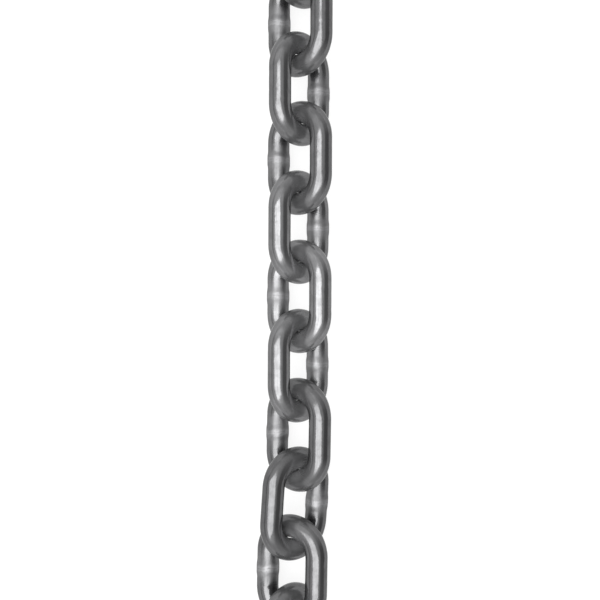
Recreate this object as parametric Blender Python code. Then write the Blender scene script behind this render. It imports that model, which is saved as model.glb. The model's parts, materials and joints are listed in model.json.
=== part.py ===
"""A half-metre length of welded short-link steel chain, lying on a level floor.

The chain runs along X and rests on z = 0. Every link is one bar bent into a loop and welded shut at
the middle of one leg. Neighbouring links stand roughly at right angles to each other, so each leans
about 45 degrees, with its welded leg down. link_08 is the middle link, and the others are parented
outwards from it. Each of them has its origin in the bar that it hangs on, and swings about its own
Z axis there.

Units are metres and radians.
"""

import math
from dataclasses import dataclass

import bmesh
import bpy
from mathutils import Matrix, Vector

# The link: round bar 10 mm across, 32 mm long and 16 mm wide inside.
BAR_DIAMETER = 0.010
INSIDE_LENGTH = 0.032
INSIDE_WIDTH = 0.016
WELD_DIAMETER = 0.0108
WELD_FLAT_LENGTH = 0.004
WELD_LENGTH = 0.008

# The chain: how many links, the play left between two crowns that face each other, and the further
# play that two links take for each radian that they turn away from standing square to each other.
LINK_COUNT = 15
MIDDLE_LINK = 8
SEAT_GAP = 0.0005
TWIST_PLAY = 0.0014

# How it lies. Every link leans half way over from the floor, but for two that have rolled flatter,
# and the chain's line steps to one side between two links.
LEAN = math.radians(45)
FLATTER_LEANS = {11: math.radians(36.5), 12: math.radians(34.5)}
SIDE_STEP = 0.0027
STEP_FROM_LINK = 10
STEP_TO_LINK = 12

# How finely the round bar and the round crowns are divided.
BAR_SIDES = 16
CROWN_STEPS = 8

# Worked out from the sizes above.
CROWN_RADIUS = (INSIDE_WIDTH + BAR_DIAMETER) / 2
HALF_LEG = (INSIDE_LENGTH - INSIDE_WIDTH) / 2
CROWN_REACH = HALF_LEG + CROWN_RADIUS
SIDE_ANGLE = 2 * math.pi / BAR_SIDES
WELD_FLAT_RADIUS = WELD_DIAMETER / 2 * math.cos(SIDE_ANGLE / 2)
LINE_HEIGHT = CROWN_RADIUS * math.sin(LEAN) + WELD_FLAT_RADIUS

STEEL_COLOUR = (0.30, 0.30, 0.31, 1.0)
STEEL_ROUGHNESS = 0.38
STEEL_METALLIC = 1.0

MERGE_DISTANCE = 1e-6


@dataclass(frozen=True)
class Lie:
    """Where one link lies: its centre, its turn, and where its lowest flat is around the bar."""

    number: int
    centre: Vector
    rotation: Matrix
    flat_angle: float

    def crown(self, side):
        """The middle of the bar at the crown towards +X (side 1) or -X (side -1)."""
        return self.centre + self.rotation @ Vector((side * CROWN_REACH, 0, 0))


def clear_scene():
    """Remove what a new file starts with."""
    for thing in list(bpy.data.objects):
        bpy.data.objects.remove(thing)


def lean_of(number):
    """How far a link's plane leans from the floor's."""
    return FLATTER_LEANS.get(number, LEAN)


def off_square(number):
    """How far a link and the next one are from standing at right angles to each other."""
    return abs(math.pi / 2 - lean_of(number) - lean_of(number + 1))


def pitch_after(number):
    """The distance along the chain from one link's centre to the next one's."""
    return INSIDE_LENGTH - SEAT_GAP - TWIST_PLAY * off_square(number)


def path_x(number):
    """The place of a link's centre along the chain, counted down from the middle link."""
    if number <= MIDDLE_LINK:
        return sum(pitch_after(between) for between in range(number, MIDDLE_LINK))
    return -sum(pitch_after(between) for between in range(MIDDLE_LINK, number))


def path_y(number):
    """The sideways place of the chain's line at a link number, which may be a fraction."""
    t = (number - STEP_FROM_LINK) / (STEP_TO_LINK - STEP_FROM_LINK)
    t = min(max(t, 0.0), 1.0)
    return SIDE_STEP * t * t * (3 - 2 * t)


def lie_of(number):
    """Work out how one link lies, from its number counted from the +X end."""
    lean = lean_of(number)
    welded_leg_left = number % 2 == 0

    # The welded leg is at the link's own +Y, and it lies low, to the left (+Y) or to the right.
    roll = -lean if welded_leg_left else math.pi + lean
    flat_angle = lean - math.pi / 2 if welded_leg_left else math.pi / 2 - lean

    heading = math.atan2(path_y(number - 0.5) - path_y(number + 0.5), pitch_after(number))
    rotation = Matrix.Rotation(heading, 3, "Z") @ Matrix.Rotation(roll, 3, "X")
    centre = Vector((path_x(number), path_y(number), LINE_HEIGHT))
    return Lie(number, centre, rotation, flat_angle)


def swing_point(inner, outer):
    """Where the outer of two links swings: in the inner one's crown, or just past it if twisted."""
    side = 1 if outer.number < inner.number else -1
    twist_play = TWIST_PLAY * off_square(min(inner.number, outer.number))
    return inner.crown(side) + Vector((side * twist_play, 0, 0))


def bar_outline(bm, flat_angle):
    """Draw the bar's many-sided outline across the start of the welded leg.

    flat_angle is where one flat faces, counted from the link's outward side towards its own +Z.
    """
    across_x = Matrix(((0, 0, 1), (1, 0, 0), (0, 1, 0))).to_4x4()
    start = Matrix.Translation((-HALF_LEG, CROWN_RADIUS, 0))
    turn = Matrix.Rotation(flat_angle + SIDE_ANGLE / 2, 4, "X")
    bmesh.ops.create_circle(
        bm,
        cap_ends=False,
        segments=BAR_SIDES,
        radius=BAR_DIAMETER / 2,
        matrix=start @ turn @ across_x,
    )
    return list(bm.edges)


def extrude_leg(bm, outline, start, stations):
    """Draw the outline along X from `start` through stations of (x, bar diameter)."""
    y, x_now, diameter_now = start
    for x, diameter in stations:
        grown = bmesh.ops.extrude_edge_only(bm, edges=outline)["geom"]
        verts = [part for part in grown if isinstance(part, bmesh.types.BMVert)]
        outline = [part for part in grown if isinstance(part, bmesh.types.BMEdge)]
        bmesh.ops.translate(bm, verts=verts, vec=(x - x_now, 0, 0))
        swell = diameter / diameter_now
        about_bar = Matrix.Translation((0, -y, 0))
        bmesh.ops.scale(bm, verts=verts, vec=(1, swell, swell), space=about_bar)
        x_now, diameter_now = x, diameter
    return outline


def spin_crown(bm, outline, side):
    """Turn the outline half a circle round the crown at +X (side 1) or -X (side -1)."""
    verts = list({vert for edge in outline for vert in edge.verts})
    spun = bmesh.ops.spin(
        bm,
        geom=verts + outline,
        cent=(side * HALF_LEG, 0, 0),
        axis=(0, 0, 1),
        angle=-math.pi,
        steps=CROWN_STEPS,
        use_duplicate=False,
    )
    return [part for part in spun["geom_last"] if isinstance(part, bmesh.types.BMEdge)]


def link_mesh(name, flat_angle, offset):
    """One link: two legs, the first with its weld, and two crowns, moved by offset."""
    bm = bmesh.new()
    half_flat = WELD_FLAT_LENGTH / 2
    half_weld = WELD_LENGTH / 2
    welded_leg = (
        (-half_weld, BAR_DIAMETER),
        (-half_flat, WELD_DIAMETER),
        (half_flat, WELD_DIAMETER),
        (half_weld, BAR_DIAMETER),
        (HALF_LEG, BAR_DIAMETER),
    )
    plain_leg = ((-HALF_LEG, BAR_DIAMETER),)

    outline = bar_outline(bm, flat_angle)
    outline = extrude_leg(bm, outline, (CROWN_RADIUS, -HALF_LEG, BAR_DIAMETER), welded_leg)
    outline = spin_crown(bm, outline, 1)
    outline = extrude_leg(bm, outline, (-CROWN_RADIUS, HALF_LEG, BAR_DIAMETER), plain_leg)
    spin_crown(bm, outline, -1)

    bmesh.ops.remove_doubles(bm, verts=bm.verts, dist=MERGE_DISTANCE)
    bmesh.ops.recalc_face_normals(bm, faces=bm.faces)
    bmesh.ops.translate(bm, verts=bm.verts, vec=offset)
    mesh = bpy.data.meshes.new(name)
    bm.to_mesh(mesh)
    bm.free()
    mesh.shade_smooth()
    return mesh


def steel():
    """Bare drawn steel, bright but not polished."""
    material = bpy.data.materials.new("chain_steel")
    material.use_nodes = True
    shader = material.node_tree.nodes["Principled BSDF"]
    shader.inputs["Base Color"].default_value = STEEL_COLOUR
    shader.inputs["Roughness"].default_value = STEEL_ROUGHNESS
    shader.inputs["Metallic"].default_value = STEEL_METALLIC
    return material


def add_link(lie, inner_lie, material):
    """Add one link, with its origin where it swings about the link nearer the middle.

    The middle link has no inner link, and its origin is its own centre.
    """
    name = f"link_{lie.number:02d}"
    origin = swing_point(inner_lie, lie) if inner_lie else lie.centre
    offset = lie.rotation.inverted() @ (lie.centre - origin)

    link = bpy.data.objects.new(name, link_mesh(name, lie.flat_angle, offset))
    link.data.materials.append(material)
    link.matrix_basis = Matrix.LocRotScale(origin, lie.rotation, None)
    bpy.context.collection.objects.link(link)
    return link


def hang_on(link, inner_link):
    """Parent a link to the next one towards the middle, where both already lie."""
    link.parent = inner_link
    link.matrix_parent_inverse = inner_link.matrix_world.inverted()


def centre_in_plan(middle_link, links):
    """Move the chain so that its box is centred on the origin, seen from above."""
    corners = [link.matrix_world @ vert.co for link in links for vert in link.data.vertices]
    for axis in (0, 1):
        values = [corner[axis] for corner in corners]
        middle_link.location[axis] -= (min(values) + max(values)) / 2


def main():
    """Build every link where it lies, then parent each one to the next towards the middle."""
    clear_scene()
    material = steel()
    lies = {number: lie_of(number) for number in range(1, LINK_COUNT + 1)}
    links = {}
    for number, lie in lies.items():
        towards_middle = (number < MIDDLE_LINK) - (number > MIDDLE_LINK)
        inner_lie = lies[number + towards_middle] if towards_middle else None
        links[number] = add_link(lie, inner_lie, material)
    bpy.context.view_layer.update()

    for number, link in links.items():
        towards_middle = (number < MIDDLE_LINK) - (number > MIDDLE_LINK)
        if towards_middle:
            hang_on(link, links[number + towards_middle])
    centre_in_plan(links[MIDDLE_LINK], list(links.values()))


if __name__ == "__main__":
    main()
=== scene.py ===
"""The looks of a half-metre length of welded short-link steel chain.

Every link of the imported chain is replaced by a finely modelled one: a round bar bent into a loop,
with the upset collar and trimmed flash of its butt weld on one leg, the flats that bending leaves on
its crowns, and the dents and waviness of drawn bar. A Geometry Nodes tree makes all the links. The
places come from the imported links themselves, so each new link lies exactly where its solid does.

Units are metres, but for the link's own shaping and finish, which are worked out in millimetres.
"""

import json
import logging
import math
from dataclasses import dataclass
from enum import Enum
from typing import ClassVar

import bpy
import numpy as np
from mathutils import Matrix, Vector

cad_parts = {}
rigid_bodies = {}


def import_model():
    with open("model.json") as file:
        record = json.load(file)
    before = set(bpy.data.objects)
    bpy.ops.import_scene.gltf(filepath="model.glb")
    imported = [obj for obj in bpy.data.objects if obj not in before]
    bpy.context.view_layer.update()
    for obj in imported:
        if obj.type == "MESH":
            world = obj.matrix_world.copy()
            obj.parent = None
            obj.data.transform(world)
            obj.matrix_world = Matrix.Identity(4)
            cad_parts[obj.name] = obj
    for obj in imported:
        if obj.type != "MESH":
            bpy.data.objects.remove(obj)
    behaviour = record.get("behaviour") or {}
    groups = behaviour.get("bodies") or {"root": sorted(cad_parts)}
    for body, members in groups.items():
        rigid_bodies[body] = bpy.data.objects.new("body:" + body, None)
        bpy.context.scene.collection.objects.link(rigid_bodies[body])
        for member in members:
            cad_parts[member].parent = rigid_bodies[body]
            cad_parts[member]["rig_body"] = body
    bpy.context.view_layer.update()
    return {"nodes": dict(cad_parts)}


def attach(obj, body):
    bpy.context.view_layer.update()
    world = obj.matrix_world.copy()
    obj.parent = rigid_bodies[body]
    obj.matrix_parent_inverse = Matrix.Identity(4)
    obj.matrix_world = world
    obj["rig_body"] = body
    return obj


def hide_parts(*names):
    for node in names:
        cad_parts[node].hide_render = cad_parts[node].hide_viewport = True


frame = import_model()

MM = 0.001
LOG = logging.getLogger("chain")


class Wire:
    """One output socket of a node tree, on which Python's operators add Math nodes."""

    def __init__(self, graph: "Graph", socket: bpy.types.NodeSocket) -> None:
        """Wrap a socket.

        Args:
            graph: the tree that the socket is in.
            socket: the output socket.
        """
        self.graph = graph
        self.socket = socket

    def math(self, operation: str, *others: "Wire | float") -> "Wire":
        """Add one Math node.

        Args:
            operation: the node's operation, such as "SINE".
            others: its second and third inputs, as wires or numbers.

        Returns:
            The node's result.
        """
        return self.graph.math(operation, self, *others)

    def __add__(self, other: "Wire | float") -> "Wire":
        """Add."""
        return self.math("ADD", other)

    def __sub__(self, other: "Wire | float") -> "Wire":
        """Subtract."""
        return self.math("SUBTRACT", other)

    def __mul__(self, other: "Wire | float") -> "Wire":
        """Multiply."""
        return self.math("MULTIPLY", other)

    def __truediv__(self, other: "Wire | float") -> "Wire":
        """Divide."""
        return self.math("DIVIDE", other)

    def __rsub__(self, other: float) -> "Wire":
        """Subtract from a number."""
        return self.graph.math("SUBTRACT", other, self)

    def __neg__(self) -> "Wire":
        """Change the sign."""
        return self.math("MULTIPLY", -1.0)

    __radd__ = __add__
    __rmul__ = __mul__

    def clamped(self, low: "Wire | float" = 0.0, high: "Wire | float" = 1.0) -> "Wire":
        """Keep the value between two others."""
        return self.math("MAXIMUM", low).math("MINIMUM", high)

    def bump(self, half_width: float) -> "Wire":
        """A bell that is 1 where the value is 0 and falls away over half_width."""
        scaled = self / half_width
        return (-(scaled * scaled)).math("EXPONENT")

    def step(self, start: float, end: float) -> "Wire":
        """Rise smoothly from 0 at start to 1 at end, or fall if end is the smaller."""
        t = ((self - start) / (end - start)).clamped()
        return t * t * (3.0 - 2.0 * t)


class Graph:
    """A node tree of either kind, to which nodes are added by one method."""

    def __init__(self, tree: bpy.types.NodeTree) -> None:
        """Wrap a node tree and empty it.

        Args:
            tree: the tree to build in.
        """
        self.tree = tree
        tree.nodes.clear()

    def node(self, kind: str, settings: dict | None = None, sockets: dict | None = None) -> bpy.types.Node:
        """Add a node.

        Args:
            kind: the node's type name.
            settings: its properties, set first.
            sockets: values or wires of its inputs, by name or number.

        Returns:
            The new node.
        """
        node = self.tree.nodes.new(kind)
        for name, value in (settings or {}).items():
            setattr(node, name, value)
        for name, value in (sockets or {}).items():
            if isinstance(value, Wire):
                self.tree.links.new(value.socket, node.inputs[name])
            else:
                node.inputs[name].default_value = value
        return node

    def wire(
        self,
        kind: str,
        settings: dict | None = None,
        sockets: dict | None = None,
        out: str | int = 0,
    ) -> Wire:
        """Add a node and return one of its outputs, by name or number."""
        return Wire(self, self.node(kind, settings, sockets).outputs[out])

    def math(self, operation: str, *values: Wire | float) -> Wire:
        """Add a Math node on wires or numbers."""
        return self.wire("ShaderNodeMath", {"operation": operation}, dict(enumerate(values)))

    def vector(self, x: Wire | float, y: Wire | float, z: Wire | float) -> Wire:
        """Join three values into a vector."""
        return self.wire("ShaderNodeCombineXYZ", None, {"X": x, "Y": y, "Z": z})

    def split(self, vector: Wire) -> tuple[Wire, Wire, Wire]:
        """Part a vector into its three values."""
        node = self.node("ShaderNodeSeparateXYZ", None, {0: vector})
        return tuple(Wire(self, out) for out in node.outputs)


@dataclass(frozen=True)
class Noise:
    """A pattern of soft noise from about 0.3 to 0.7, centred on MIDDLE.

    It changes scale times for each unit of place, in detail finer layers besides the first. The
    seed_offset sets it apart from the other patterns that share its seed.
    """

    MIDDLE: ClassVar[float] = 0.5

    scale: float
    detail: float
    seed_offset: float = 0.0

    def read(self, graph: Graph, place: Wire, seed: Wire | float = 0.0) -> Wire:
        """Add the pattern to a tree.

        Args:
            graph: the tree.
            place: where it is read, as a vector.
            seed: its fourth coordinate, which picks the pattern.

        Returns:
            The noise's value.
        """
        sockets = {
            "Vector": place,
            "W": seed + self.seed_offset,
            "Scale": self.scale,
            "Detail": self.detail,
        }
        return graph.wire("ShaderNodeTexNoise", {"noise_dimensions": "4D"}, sockets, "Fac")

    def centred(self, graph: Graph, place: Wire, seed: Wire | float = 0.0) -> Wire:
        """Add the pattern with its values about 0."""
        return self.read(graph, place, seed) - self.MIDDLE


class End(Enum):
    """The two crowns of a link: the one towards the chain's start, at +X, and the one after it."""

    FAR = 1
    NEAR = -1


@dataclass(frozen=True)
class LinkPlace:
    """Where a packed link lies: its centre, and a turn whose columns are along, weld side, normal."""

    POINT_DIGITS: ClassVar[int] = 7

    centre: Vector
    turn: Matrix

    @classmethod
    def of_node(cls, node: bpy.types.Object, half_leg: float) -> "LinkPlace":
        """Read a link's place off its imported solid.

        Args:
            node: the CAD node.
            half_leg: half the straight part of its legs, in metres.

        Returns:
            The link's place. Its second column points to the welded leg, which lies low.
        """
        points = np.array([vert.co for vert in node.data.vertices])
        points = np.unique(points.round(cls.POINT_DIGITS), axis=0)
        middle = (points.min(axis=0) + points.max(axis=0)) / 2
        _, _, axes = np.linalg.svd(points - points.mean(axis=0), full_matrices=False)
        along = axes[0] * np.sign(axes[0][0])
        across = axes[1] * -np.sign(axes[1][2])
        turn = np.array([along, across, np.cross(along, across)])
        local = (points - middle) @ turn.T
        crowns = local[np.abs(local[:, 0]) > half_leg]
        centre = middle + (crowns.min(axis=0) + crowns.max(axis=0)) / 2 @ turn
        return cls(Vector(centre), Matrix(turn.T.tolist()))

    def matrix(self) -> Matrix:
        """The place as a matrix that takes a link at the origin to it."""
        return Matrix.LocRotScale(self.centre, self.turn, None)


@dataclass(frozen=True)
class Mark:
    """Noise that marks the steel: how much it dulls it, where it runs over a range, and lifts it."""

    noise: Noise
    dull_range: tuple[float, float]
    dull_share: float
    lift_share: float

    def dulls(self, value: Wire) -> Wire:
        """How much the noise dulls the steel where it has some value."""
        return value.step(*self.dull_range) * self.dull_share


@dataclass(frozen=True)
class SteelFinish:
    """Bare drawn steel: semi-gloss grey with lengthwise drawing lines and thin patches of scale.

    Greys are linear. The weld's zone is burnt matt, in blotches a little lighter than the clean steel,
    and its shaved flash is bright metal. The seats in the crowns are lightened towards bright metal,
    partly as wear and partly as painted fill light against the shade in the recess where links hook. The
    crowns carry a thin film.
    """

    name: str = "drawn_steel"

    clean: float = 0.15
    scaled: float = 0.102
    burnt: float = 0.19
    burnt_range: tuple[float, float] = (0.35, 0.6)
    burnt_share: float = 0.8
    # Bare metal's grey: the shaved flash's own colour, and what the seats are mixed towards, partly as
    # wear and partly as painted fill light in their shaded recess.
    bright: float = 0.42
    seat_wear_and_painted_fill: float = 0.7
    shaved_share: float = 0.22
    tone_spread: float = 0.24
    blue_share: float = 1.02
    rim: float = 0.6

    metal: float = 0.93
    dull_film: float = 0.042
    weld_film: float = 0.028
    crown_film: float = 0.32

    roughness: float = 0.14
    dull_roughness: float = 0.11
    crown_roughness: float = 0.05
    weld_roughness: float = 0.32
    shaved_polish: float = 0.03
    roughness_limits: tuple[float, float] = (0.12, 0.8)

    blotches: Mark = Mark(Noise(220.0, 3.0), (0.42, 0.66), 0.5, 0.5)
    lines: Mark = Mark(Noise(1.6, 3.0), (0.35, 0.7), 0.4, 0.5)
    line_stretch: float = 0.05
    flakes: Mark = Mark(Noise(900.0, 4.0), (0.5, 0.7), 0.2, 0.7)
    relief_mm: float = 0.016

    def material(self, link: "LinkShape") -> bpy.types.Material:
        """Build the finish.

        Args:
            link: the link's shape, for its bar's length and thickness.

        Returns:
            The new material.
        """
        made = bpy.data.materials.new(self.name)
        made.use_nodes = True
        graph = Graph(made.node_tree)
        place = graph.wire("ShaderNodeTexCoord", None, None, "Object")
        blotch = self.blotches.noise.read(graph, place)
        line = self.lines.noise.read(graph, self._bar_place(graph, link))
        flake = self.flakes.noise.read(graph, place)
        masks = {
            name: graph.wire("ShaderNodeAttribute", {"attribute_name": name}, None, "Fac")
            for name in link.MASKS
        }

        dull = self.blotches.dulls(blotch) + self.lines.dulls(line) + self.flakes.dulls(flake)
        dull = dull.clamped()
        height = (
            line * self.lines.lift_share
            + flake * self.flakes.lift_share
            + blotch * self.blotches.lift_share
        )
        relief = graph.node(
            "ShaderNodeBump",
            None,
            {"Strength": 1.0, "Distance": self.relief_mm * MM, "Height": height},
        )
        shader = graph.node(
            "ShaderNodeBsdfPrincipled",
            None,
            {
                "Base Color": self._colour(graph, masks, dull, blotch),
                "Metallic": self._metallic(masks, dull),
                "Specular Tint": (self.rim, self.rim, self.rim, 1.0),
                "Roughness": self._rough(masks, dull),
                "Normal": Wire(graph, relief.outputs["Normal"]),
            },
        )
        graph.node("ShaderNodeOutputMaterial", None, {"Surface": Wire(graph, shader.outputs["BSDF"])})
        return made

    def _bar_place(self, graph: Graph, link: "LinkShape") -> Wire:
        """A place on the straightened bar in millimetres, drawn out along it, from the piece's UV map."""
        uv = graph.wire("ShaderNodeUVMap", {"uv_map": link.UV_NAME}, None, "UV")
        share_along, share_around, _ = graph.split(uv)
        around = share_around * (2 * math.pi)
        return graph.vector(
            around.math("COSINE") * link.bar_radius,
            around.math("SINE") * link.bar_radius,
            share_along * link.bar_length * self.line_stretch,
        )

    def _colour(self, graph: Graph, masks: dict[str, Wire], dull: Wire, blotch: Wire) -> Wire:
        """The steel's grey, with the weld's burnt blotches, the bright shaved flash, and the seats
        lightened partly as wear and partly as painted fill light in their shaded recess.
        """
        grey = (self.clean + (self.scaled - self.clean) * dull) * (1.0 + masks["tone"] * self.tone_spread)
        burnt = masks["weld"] * blotch.step(*self.burnt_range) * self.burnt_share
        grey = grey + (self.burnt - grey) * burnt.clamped()
        # The seats' lightening is partly wear and partly painted fill light that lifts the shade where
        # links hook; the shaved flash is bright bare metal.
        bare_and_painted_fill = masks["seat"] * self.seat_wear_and_painted_fill + masks["shaved"] * self.shaved_share
        grey = grey + (self.bright - grey) * bare_and_painted_fill.clamped()
        parts = {"Red": grey, "Green": grey, "Blue": grey * self.blue_share}
        return graph.wire("ShaderNodeCombineColor", None, parts)

    def _metallic(self, masks: dict[str, Wire], dull: Wire) -> Wire:
        """Bare metal, less under the film."""
        film = dull * self.dull_film + masks["weld"] * self.weld_film
        return (self.metal - film - self.crown_film * masks["crown"]).clamped()

    def _rough(self, masks: dict[str, Wire], dull: Wire) -> Wire:
        """The roughness, most in the weld's zone."""
        rough = self.roughness + self.dull_roughness * dull + self.crown_roughness * masks["crown"]
        rough = rough + self.weld_roughness * masks["weld"] - masks["shaved"] * self.shaved_polish
        return rough.clamped(*self.roughness_limits)


@dataclass(frozen=True)
class BarLine:
    """Wires that follow a bar's centreline round its link, in millimetres.

    They are its place, the way out of the link, the two crowns, each 1 in its middle and 0 along the
    legs, and the distance from the weld.
    """

    x: Wire
    y: Wire
    out_x: Wire
    out_y: Wire
    far: Wire
    near: Wire
    from_weld: Wire

    def skin(
        self,
        graph: Graph,
        outward: Wire,
        upward: Wire,
        radius: "Wire | float",
        unit: float = 1.0,
    ) -> Wire:
        """A point at some radius from the centreline.

        Args:
            graph: the tree.
            outward: the share of the radius that points out of the link.
            upward: the share that points across the link's plane.
            radius: the distance from the centreline.
            unit: the size of a millimetre in the result.

        Returns:
            The point, as a vector.
        """
        return graph.vector(
            (self.x + self.out_x * outward * radius) * unit,
            (self.y + self.out_y * outward * radius) * unit,
            upward * radius * unit,
        )


@dataclass(frozen=True)
class LinkShape:
    """The shape of one link, in millimetres, and the Geometry Nodes tree that makes it."""

    UV_NAME: ClassVar[str] = "bar_uv"
    MASKS: ClassVar[tuple[str, ...]] = ("weld", "shaved", "seat", "crown", "tone")
    MERGE_METRES: ClassVar[float] = 1e-6

    bar_radius: float = 5.0
    inside_length: float = 32.0
    inside_width: float = 16.0
    crown_flat: float = 0.10
    flat_power: float = 4.0
    seat_gap: float = 0.07

    # The weld: an upset collar, flash trimmed to the shaved radius, and a seam in its middle. Their
    # edges wander round the bar and are ragged.
    weld_rise: float = 0.27
    flash_rise: float = 0.12
    flash_inner: float = 0.6
    flash_outer: float = 1.15
    flash_least: float = 0.35
    flash_patches: tuple[float, float] = (0.40, 0.56)
    flash_ragged: float = 2.2
    seam_depth: float = 0.09
    seam_width: float = 0.2
    seam_ragged: float = 0.5
    shaved_radius: float = 5.28
    shaved_range: tuple[float, float] = (-0.03, 0.02)
    collar_inner: float = 1.4
    collar_outer: float = 4.3
    weld_wander: float = 3.0
    weld_grain: float = 0.7
    heat_reach: float = 11.0
    heat_wander: float = 8.0

    # The bar's own unevenness.
    waviness: float = 0.055
    dent_depth: float = 0.045
    dent_range: tuple[float, float] = (0.63, 0.78)
    grain_rise: float = 0.02
    collar_grain_rise: float = 0.08
    waves: Noise = Noise(0.12, 1.0)
    dents: Noise = Noise(0.30, 0.0, 7.0)
    grain: Noise = Noise(0.9, 3.0, 3.0)
    wander: Noise = Noise(0.9, 1.0, 5.0)
    ragged: Noise = Noise(1.1, 2.0, 9.0)

    line_points: int = 181
    rings: int = 300
    sides: int = 56
    rings_to_weld: float = 0.6

    @property
    def crown_radius(self) -> float:
        """The radius of the bar's centreline round a crown."""
        return self.inside_width / 2 + self.bar_radius

    @property
    def half_leg(self) -> float:
        """Half the straight part of a leg."""
        return (self.inside_length - self.inside_width) / 2

    @property
    def bar_length(self) -> float:
        """The length of the bar's centreline round the whole link."""
        return 4 * self.half_leg + 2 * math.pi * self.crown_radius

    def crown_line(self, place: LinkPlace, end: End) -> tuple[np.ndarray, np.ndarray]:
        """The bar's centreline round one crown of a link.

        Args:
            place: where the link lies.
            end: which of its crowns.

        Returns:
            Points along the line in millimetres, and the way into the crown from each. The ways grow
            shorter away from its middle, as the seat does.
        """
        angles = np.linspace(-math.pi / 2, math.pi / 2, self.line_points)
        turn = np.array(place.turn)
        outward = np.outer(end.value * np.cos(angles), turn[:, 0]) + np.outer(np.sin(angles), turn[:, 1])
        middle = np.array(place.centre) / MM + end.value * self.half_leg * turn[:, 0]
        return middle + self.crown_radius * outward, -outward * np.cos(angles)[:, None] ** 2

    def seat_rise(self, upper: LinkPlace, lower: LinkPlace) -> float:
        """How far two hooked links rise in the middle of their seats, so that they all but touch.

        Args:
            upper: the place of the link nearer the chain's start.
            lower: the place of the one after it.

        Returns:
            The rise, in millimetres.
        """
        points, inward = self.crown_line(upper, End.NEAR)
        other_points, other_inward = self.crown_line(lower, End.FAR)
        apart = np.linalg.norm(points[:, None] - other_points[None], axis=2)
        here, there = np.unravel_index(apart.argmin(), apart.shape)
        least = apart[here, there]
        way = (other_points[there] - points[here]) / least
        shares = way @ inward[here] - way @ other_inward[there]
        return float((least - 2 * self.bar_radius - self.seat_gap) / shares)

    def tree(self) -> bpy.types.NodeTree:
        """Build the tree that bends, welds and wears one link about the origin.

        Returns:
            The node group, with inputs named for its sizes, its seed and its material.
        """
        tree = bpy.data.node_groups.new("bent_link", "GeometryNodeTree")
        inputs = {
            "Bar Radius": ("NodeSocketFloat", self.bar_radius),
            "Crown Radius": ("NodeSocketFloat", self.crown_radius),
            "Half Leg": ("NodeSocketFloat", self.half_leg),
            "Weld Rise": ("NodeSocketFloat", self.weld_rise),
            "Flash Rise": ("NodeSocketFloat", self.flash_rise),
            "Seam Depth": ("NodeSocketFloat", self.seam_depth),
            "Shaved Radius": ("NodeSocketFloat", self.shaved_radius),
            "Crown Flat": ("NodeSocketFloat", self.crown_flat),
            "Far Seat Rise": ("NodeSocketFloat", 0.0),
            "Near Seat Rise": ("NodeSocketFloat", 0.0),
            "Waviness": ("NodeSocketFloat", self.waviness),
            "Dent Depth": ("NodeSocketFloat", self.dent_depth),
            "Rings": ("NodeSocketInt", self.rings),
            "Sides": ("NodeSocketInt", self.sides),
            "Seed": ("NodeSocketFloat", 0.0),
            "Tone": ("NodeSocketFloat", 0.0),
            "Material": ("NodeSocketMaterial", None),
        }
        for name, (kind, value) in inputs.items():
            socket = tree.interface.new_socket(name, in_out="INPUT", socket_type=kind)
            if value is not None:
                socket.default_value = value
        tree.interface.new_socket("Geometry", in_out="OUTPUT", socket_type="NodeSocketGeometry")

        graph = Graph(tree)
        group = graph.node("NodeGroupInput")
        given = {name: Wire(graph, group.outputs[name]) for name in inputs}
        geometry = self._unrolled(graph, given)
        x, y, _ = graph.split(graph.wire("GeometryNodeInputPosition"))
        surface = self._surface(graph, given, self._spread(x + 0.5), y + 0.5)
        for name in self.MASKS:
            geometry = graph.wire(
                "GeometryNodeStoreNamedAttribute",
                {"data_type": "FLOAT", "domain": "POINT"},
                {"Geometry": geometry, "Name": name, "Value": surface[name]},
            )
        geometry = graph.wire(
            "GeometryNodeSetPosition", None, {"Geometry": geometry, "Position": surface["place"]}
        )
        geometry = graph.wire(
            "GeometryNodeMergeByDistance", None, {"Geometry": geometry, "Distance": self.MERGE_METRES}
        )

        # Wrapped round the bar, the grid's faces look inwards.
        geometry = graph.wire("GeometryNodeFlipFaces", None, {"Mesh": geometry})
        geometry = graph.wire("GeometryNodeSetShadeSmooth", None, {"Geometry": geometry})
        geometry = graph.wire("GeometryNodeRealizeInstances", None, {"Geometry": geometry})
        geometry = graph.wire(
            "GeometryNodeSetMaterial", None, {"Geometry": geometry, "Material": given["Material"]}
        )
        graph.node("NodeGroupOutput", None, {"Geometry": geometry})
        return tree

    def _unrolled(self, graph: Graph, given: dict[str, Wire]) -> Wire:
        """The bar's skin laid flat: a grid of one unit each way, which holds the bar's UV map."""
        grid = graph.node(
            "GeometryNodeMeshGrid",
            None,
            {
                "Size X": 1.0,
                "Size Y": 1.0,
                "Vertices X": given["Rings"] + 1.0,
                "Vertices Y": given["Sides"] + 1.0,
            },
        )
        share_x, share_y, _ = graph.split(Wire(graph, grid.outputs["UV Map"]))
        return graph.wire(
            "GeometryNodeStoreNamedAttribute",
            {"data_type": "FLOAT2", "domain": "CORNER"},
            {
                "Geometry": Wire(graph, grid.outputs["Mesh"]),
                "Name": self.UV_NAME,
                "Value": graph.vector(self._spread(share_x), share_y, 0.0),
            },
        )

    def _spread(self, share: Wire) -> Wire:
        """Draw the rings closer together at the weld, at 0 and 1, than on the leg across from it."""
        wave = (share * (2 * math.pi)).math("SINE")
        return share - wave * (self.rings_to_weld / (2 * math.pi))

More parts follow.
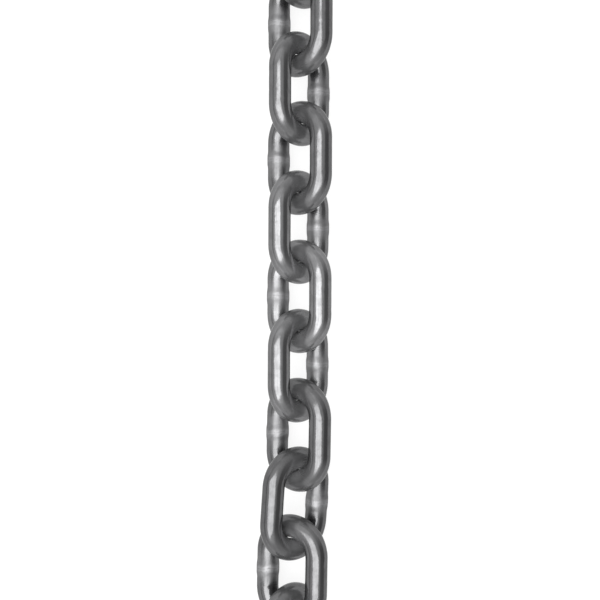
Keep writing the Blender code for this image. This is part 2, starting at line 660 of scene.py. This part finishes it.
    def _bar_line(self, given: dict[str, Wire], share: Wire) -> BarLine:
        """Follow the bar's centreline from the middle of the weld round the link.

        Args:
            given: the tree's inputs by name.
            share: the place along the bar from 0 to 1.

        Returns:
            The line.
        """
        half_leg, crown = given["Half Leg"], given["Crown Radius"]
        bend = crown * math.pi
        length = half_leg * 4.0 + bend * 2.0
        run = share * length
        first = ((run - half_leg) / crown).clamped(0.0, math.pi)
        second = ((run - half_leg * 3.0 - bend) / crown).clamped(0.0, math.pi)
        heading = first + second
        return BarLine(
            x=(
                run.math("MINIMUM", half_leg)
                - (run - half_leg - bend).clamped(0.0, half_leg * 2.0)
                + (run - half_leg * 3.0 - bend * 2.0).clamped(0.0, half_leg)
                + crown * first.math("SINE")
                - crown * second.math("SINE")
            ),
            y=crown * (1.0 + first.math("COSINE") - second.math("COSINE")),
            out_x=heading.math("SINE"),
            out_y=heading.math("COSINE"),
            far=first.math("SINE").math("POWER", 2.0),
            near=second.math("SINE").math("POWER", 2.0),
            from_weld=run - length * run.math("GREATER_THAN", length * 0.5),
        )

    def _weld_parts(self, ring: Wire, ragged: Wire) -> tuple[Wire, Wire, Wire]:
        """Where the weld's collar, flash and seam are.

        Args:
            ring: the distance along the bar from the wandering middle of the weld.
            ragged: the noise of its edges.

        Returns:
            The three, each from 0 to 1.
        """
        off = ragged - Noise.MIDDLE
        collar = ring.math("ABSOLUTE").step(self.collar_outer, self.collar_inner)
        flash = (ring.math("ABSOLUTE") + off * self.flash_ragged).step(self.flash_outer, self.flash_inner)
        flash = flash * (self.flash_least + (1.0 - self.flash_least) * ragged.step(*self.flash_patches))
        seam = (ring + off * self.seam_ragged).bump(self.seam_width)
        return collar, flash, seam

    def _surface(self, graph: Graph, given: dict[str, Wire], share: Wire, turn: Wire) -> dict[str, Wire]:
        """Work out the link's surface.

        Args:
            graph: the tree.
            given: the tree's inputs by name.
            share: the place along the bar from 0 to 1, both at the weld.
            turn: the place around the bar from 0 to 1, 0 facing out of the link.

        Returns:
            "place" in metres, and the masks by name.
        """
        line = self._bar_line(given, share)
        angle = turn * (2 * math.pi)
        outward, upward = angle.math("COSINE"), angle.math("SINE")
        base = line.skin(graph, outward, upward, self.bar_radius)
        seed = given["Seed"]
        wave = self.waves.centred(graph, base, seed)
        dent = self.dents.read(graph, base, seed).step(*self.dent_range)
        grain = self.grain.centred(graph, base, seed)
        wander = self.wander.centred(graph, graph.vector(outward, upward, 0.0), seed)
        ring = line.from_weld + wander * self.weld_wander + grain * self.weld_grain
        collar, flash, seam = self._weld_parts(ring, self.ragged.read(graph, base, seed))

        inward = (-outward).clamped()
        crown = line.far + line.near
        seat = crown * inward
        outside = outward.clamped().math("POWER", self.flat_power)
        raised = (
            given["Bar Radius"]
            + (wave * given["Waviness"] - dent * given["Dent Depth"]) * (1.0 - seat)
            + grain * (self.grain_rise + collar * self.collar_grain_rise)
            + collar * given["Weld Rise"]
            + flash * given["Flash Rise"]
            - seam * given["Seam Depth"]
            - crown * outside * given["Crown Flat"]
            + inward * (line.far * given["Far Seat Rise"] + line.near * given["Near Seat Rise"])
        )
        radius = raised.math("MINIMUM", given["Shaved Radius"])
        heated = line.from_weld.math("ABSOLUTE") + wave * self.heat_wander
        return {
            "place": line.skin(graph, outward, upward, radius, MM),
            "weld": heated.step(self.heat_reach, self.collar_inner),
            "shaved": (raised - given["Shaved Radius"]).step(*self.shaved_range),
            # The seats: the finish lightens them partly as wear and partly as painted fill light in their
            # shaded recess.
            "seat": seat,
            "crown": crown,
            "tone": given["Tone"],
        }


@dataclass(frozen=True)
class Chain:
    """The whole chain: one finely modelled link for each packed one."""

    SLOT: ClassVar[str] = "steel"

    shape: LinkShape = LinkShape()
    finish: SteelFinish = SteelFinish()
    seed_step: int = 11
    # Picked so that the middle links come out lighter and the three after them darker.
    tone_seed: int = 10388

    @property
    def nodes(self) -> dict[str, bpy.types.Object]:
        """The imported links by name, in their order along the chain."""
        return {name: frame["nodes"][name] for name in sorted(frame["nodes"])}

    @property
    def places(self) -> list[LinkPlace]:
        """Where each of them lies."""
        return [LinkPlace.of_node(node, self.shape.half_leg * MM) for node in self.nodes.values()]

    def build(self) -> None:
        """Make and place every link, hang it on its body and hide the imported one."""
        tree = self.shape.tree()
        steel = self.finish.material(self.shape)
        places = self.places
        rises = [self.shape.seat_rise(upper, lower) for upper, lower in zip(places, places[1:])]
        tones = np.random.default_rng(self.tone_seed).uniform(-1.0, 1.0, len(places))
        for index, (name, node) in enumerate(self.nodes.items()):
            own = {
                "Seed": float((index + 1) * self.seed_step),
                "Tone": float(tones[index]),
                "Material": steel,
                "Far Seat Rise": rises[index - 1] if index > 0 else 0.0,
                "Near Seat Rise": rises[index] if index < len(rises) else 0.0,
            }
            link = self._link(f"{name}_steel", tree, own, places[index])
            body = node["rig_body"]
            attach(link, body)
            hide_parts(name)
            LOG.info("%s: %d faces, rides on %s", link.name, len(link.data.polygons), body)

    def _link(
        self,
        name: str,
        tree: bpy.types.NodeTree,
        own: dict[str, object],
        place: LinkPlace,
    ) -> bpy.types.Object:
        """Make one link with the tree, as a plain mesh that lies in its place.

        Args:
            name: the new object's name.
            tree: the link's Geometry Nodes tree.
            own: the tree's inputs that are this link's own, by name.
            place: where it lies.

        Returns:
            The new object, at the origin, with its place in its mesh.
        """
        blank = bpy.data.objects.new(f"{name}_blank", bpy.data.meshes.new(f"{name}_blank"))
        bpy.context.scene.collection.objects.link(blank)
        modifier = blank.modifiers.new("bend", "NODES")
        modifier.node_group = tree
        sockets = {item.name: item.identifier for item in tree.interface.items_tree}
        for socket, value in own.items():
            modifier[sockets[socket]] = value
        bpy.context.view_layer.update()
        evaluated = blank.evaluated_get(bpy.context.evaluated_depsgraph_get())
        mesh = bpy.data.meshes.new_from_object(evaluated)
        mesh.name = name
        mesh.transform(place.matrix())
        bpy.data.objects.remove(blank)
        link = bpy.data.objects.new(name, mesh)
        bpy.context.scene.collection.objects.link(link)
        return link


@dataclass(frozen=True)
class Studio:
    """A plain pale floor, soft lights and the camera, which looks straight down on the chain.

    The room's light rises smoothly over each range: of the share of a direction that points across
    the chain, along it or up, or of its nearness to the key light's.
    """

    floor_side: float = 40.0
    floor_grey: float = 0.12
    floor_roughness: float = 0.9
    floor_glow: float = 0.87

    room_left: float = 0.5
    room_right: float = 0.22
    left_range: tuple[float, float] = (-0.75, 0.35)
    room_ends: float = 0.6
    ends_range: tuple[float, float] = (0.15, 0.8)
    room_glow: float = 0.75
    glow_range: tuple[float, float] = (0.5, 0.68)
    room_foot: float = 0.8
    foot_range: tuple[float, float] = (0.16, 0.05)

    key_place: tuple[float, float, float] = (-0.2, 0.37, 1.25)
    key_size: tuple[float, float] = (1.5, 1.3)
    key_watts: float = 26.0

    lens_mm: float = 56.0
    sensor_mm: float = 36.0
    frame_pixels: float = 600.0
    pixels_per_link: float = 69.1
    middle_pixel_x: float = 298.8
    middle_pixel_y: float = 296.4
    tip: float = math.radians(2.75)
    spin: float = math.radians(0.24)

    def floor(self) -> None:
        """Lay the floor under the chain."""
        half = self.floor_side / 2
        corners = [(-half, -half, 0), (half, -half, 0), (half, half, 0), (-half, half, 0)]
        mesh = bpy.data.meshes.new("floor")
        mesh.from_pydata(corners, [], [(0, 1, 2, 3)])
        made = bpy.data.materials.new("floor")
        made.use_nodes = True
        shader = made.node_tree.nodes["Principled BSDF"]
        shader.inputs["Base Color"].default_value = (self.floor_grey,) * 3 + (1.0,)
        shader.inputs["Roughness"].default_value = self.floor_roughness
        shader.inputs["Emission Color"].default_value = (1.0, 1.0, 1.0, 1.0)
        shader.inputs["Emission Strength"].default_value = self.floor_glow
        mesh.materials.append(made)
        floor = bpy.data.objects.new("floor", mesh)
        bpy.context.scene.collection.objects.link(floor)

    def lights(self) -> None:
        """Hang a soft light over the chain's left, in a room brightest round it and dim on the right."""
        self._key()
        world = bpy.data.worlds.new("room")
        world.use_nodes = True
        graph = Graph(world.node_tree)
        along, across, up = graph.split(graph.wire("ShaderNodeTexCoord", None, None, "Generated"))
        key = Vector(self.key_place).normalized()
        towards_key = across * key.y + up * key.z
        strength = (
            self.room_right
            + (self.room_left - self.room_right) * across.step(*self.left_range)
            + self.room_ends * along.math("ABSOLUTE").step(*self.ends_range)
            + self.room_glow * towards_key.step(*self.glow_range)
            + self.room_foot * up.step(*self.foot_range)
        )
        background = graph.wire(
            "ShaderNodeBackground", None, {"Color": (1.0, 1.0, 1.0, 1.0), "Strength": strength}
        )
        graph.node("ShaderNodeOutputWorld", None, {"Surface": background})
        bpy.context.scene.world = world

    def _key(self) -> None:
        """Hang the key light, a rectangle that faces the middle of the chain."""
        data = bpy.data.lights.new("key", "AREA")
        data.shape = "RECTANGLE"
        data.size, data.size_y = self.key_size
        data.energy = self.key_watts
        light = bpy.data.objects.new("key", data)
        light.location = self.key_place
        light.rotation_euler = Vector(self.key_place).to_track_quat("Z", "Y").to_euler()
        bpy.context.scene.collection.objects.link(light)

    def camera(self, middle: Vector, pitch: float) -> None:
        """Place the camera over the chain's middle link.

        Args:
            middle: the middle link's centre.
            pitch: the distance between two links' centres.
        """
        data = bpy.data.cameras.new("camera")
        data.lens = self.lens_mm
        data.sensor_width = self.sensor_mm
        pixel = pitch / self.pixels_per_link
        away = pixel * self.frame_pixels * self.lens_mm / self.sensor_mm
        camera = bpy.data.objects.new("camera", data)

        # The picture's top is the chain's +X end and its left is +Y.
        turn = Matrix.Rotation(self.spin, 3, "Z") @ Matrix.Rotation(-self.tip, 3, "X")
        look = turn @ Matrix(((0, 1, 0), (-1, 0, 0), (0, 0, 1)))
        aim_x = (self.frame_pixels / 2 - self.middle_pixel_x) * pixel
        aim_y = (self.middle_pixel_y - self.frame_pixels / 2) * pixel
        place = middle + look @ Vector((aim_x, aim_y, away))
        camera.matrix_world = Matrix.LocRotScale(place, look, None)
        bpy.context.scene.collection.objects.link(camera)
        bpy.context.scene.camera = camera


def main() -> None:
    """Dress the chain, then set up the floor, lights and camera."""
    logging.basicConfig(level=logging.INFO, format="%(message)s")
    bpy.context.scene.view_settings.view_transform = "Standard"
    chain = Chain()
    places = chain.places
    chain.build()

    middle, next_up = places[len(places) // 2], places[len(places) // 2 - 1]
    studio = Studio()
    studio.floor()
    studio.lights()
    studio.camera(middle.centre, (next_up.centre - middle.centre).length)


if __name__ == "__main__":
    main()
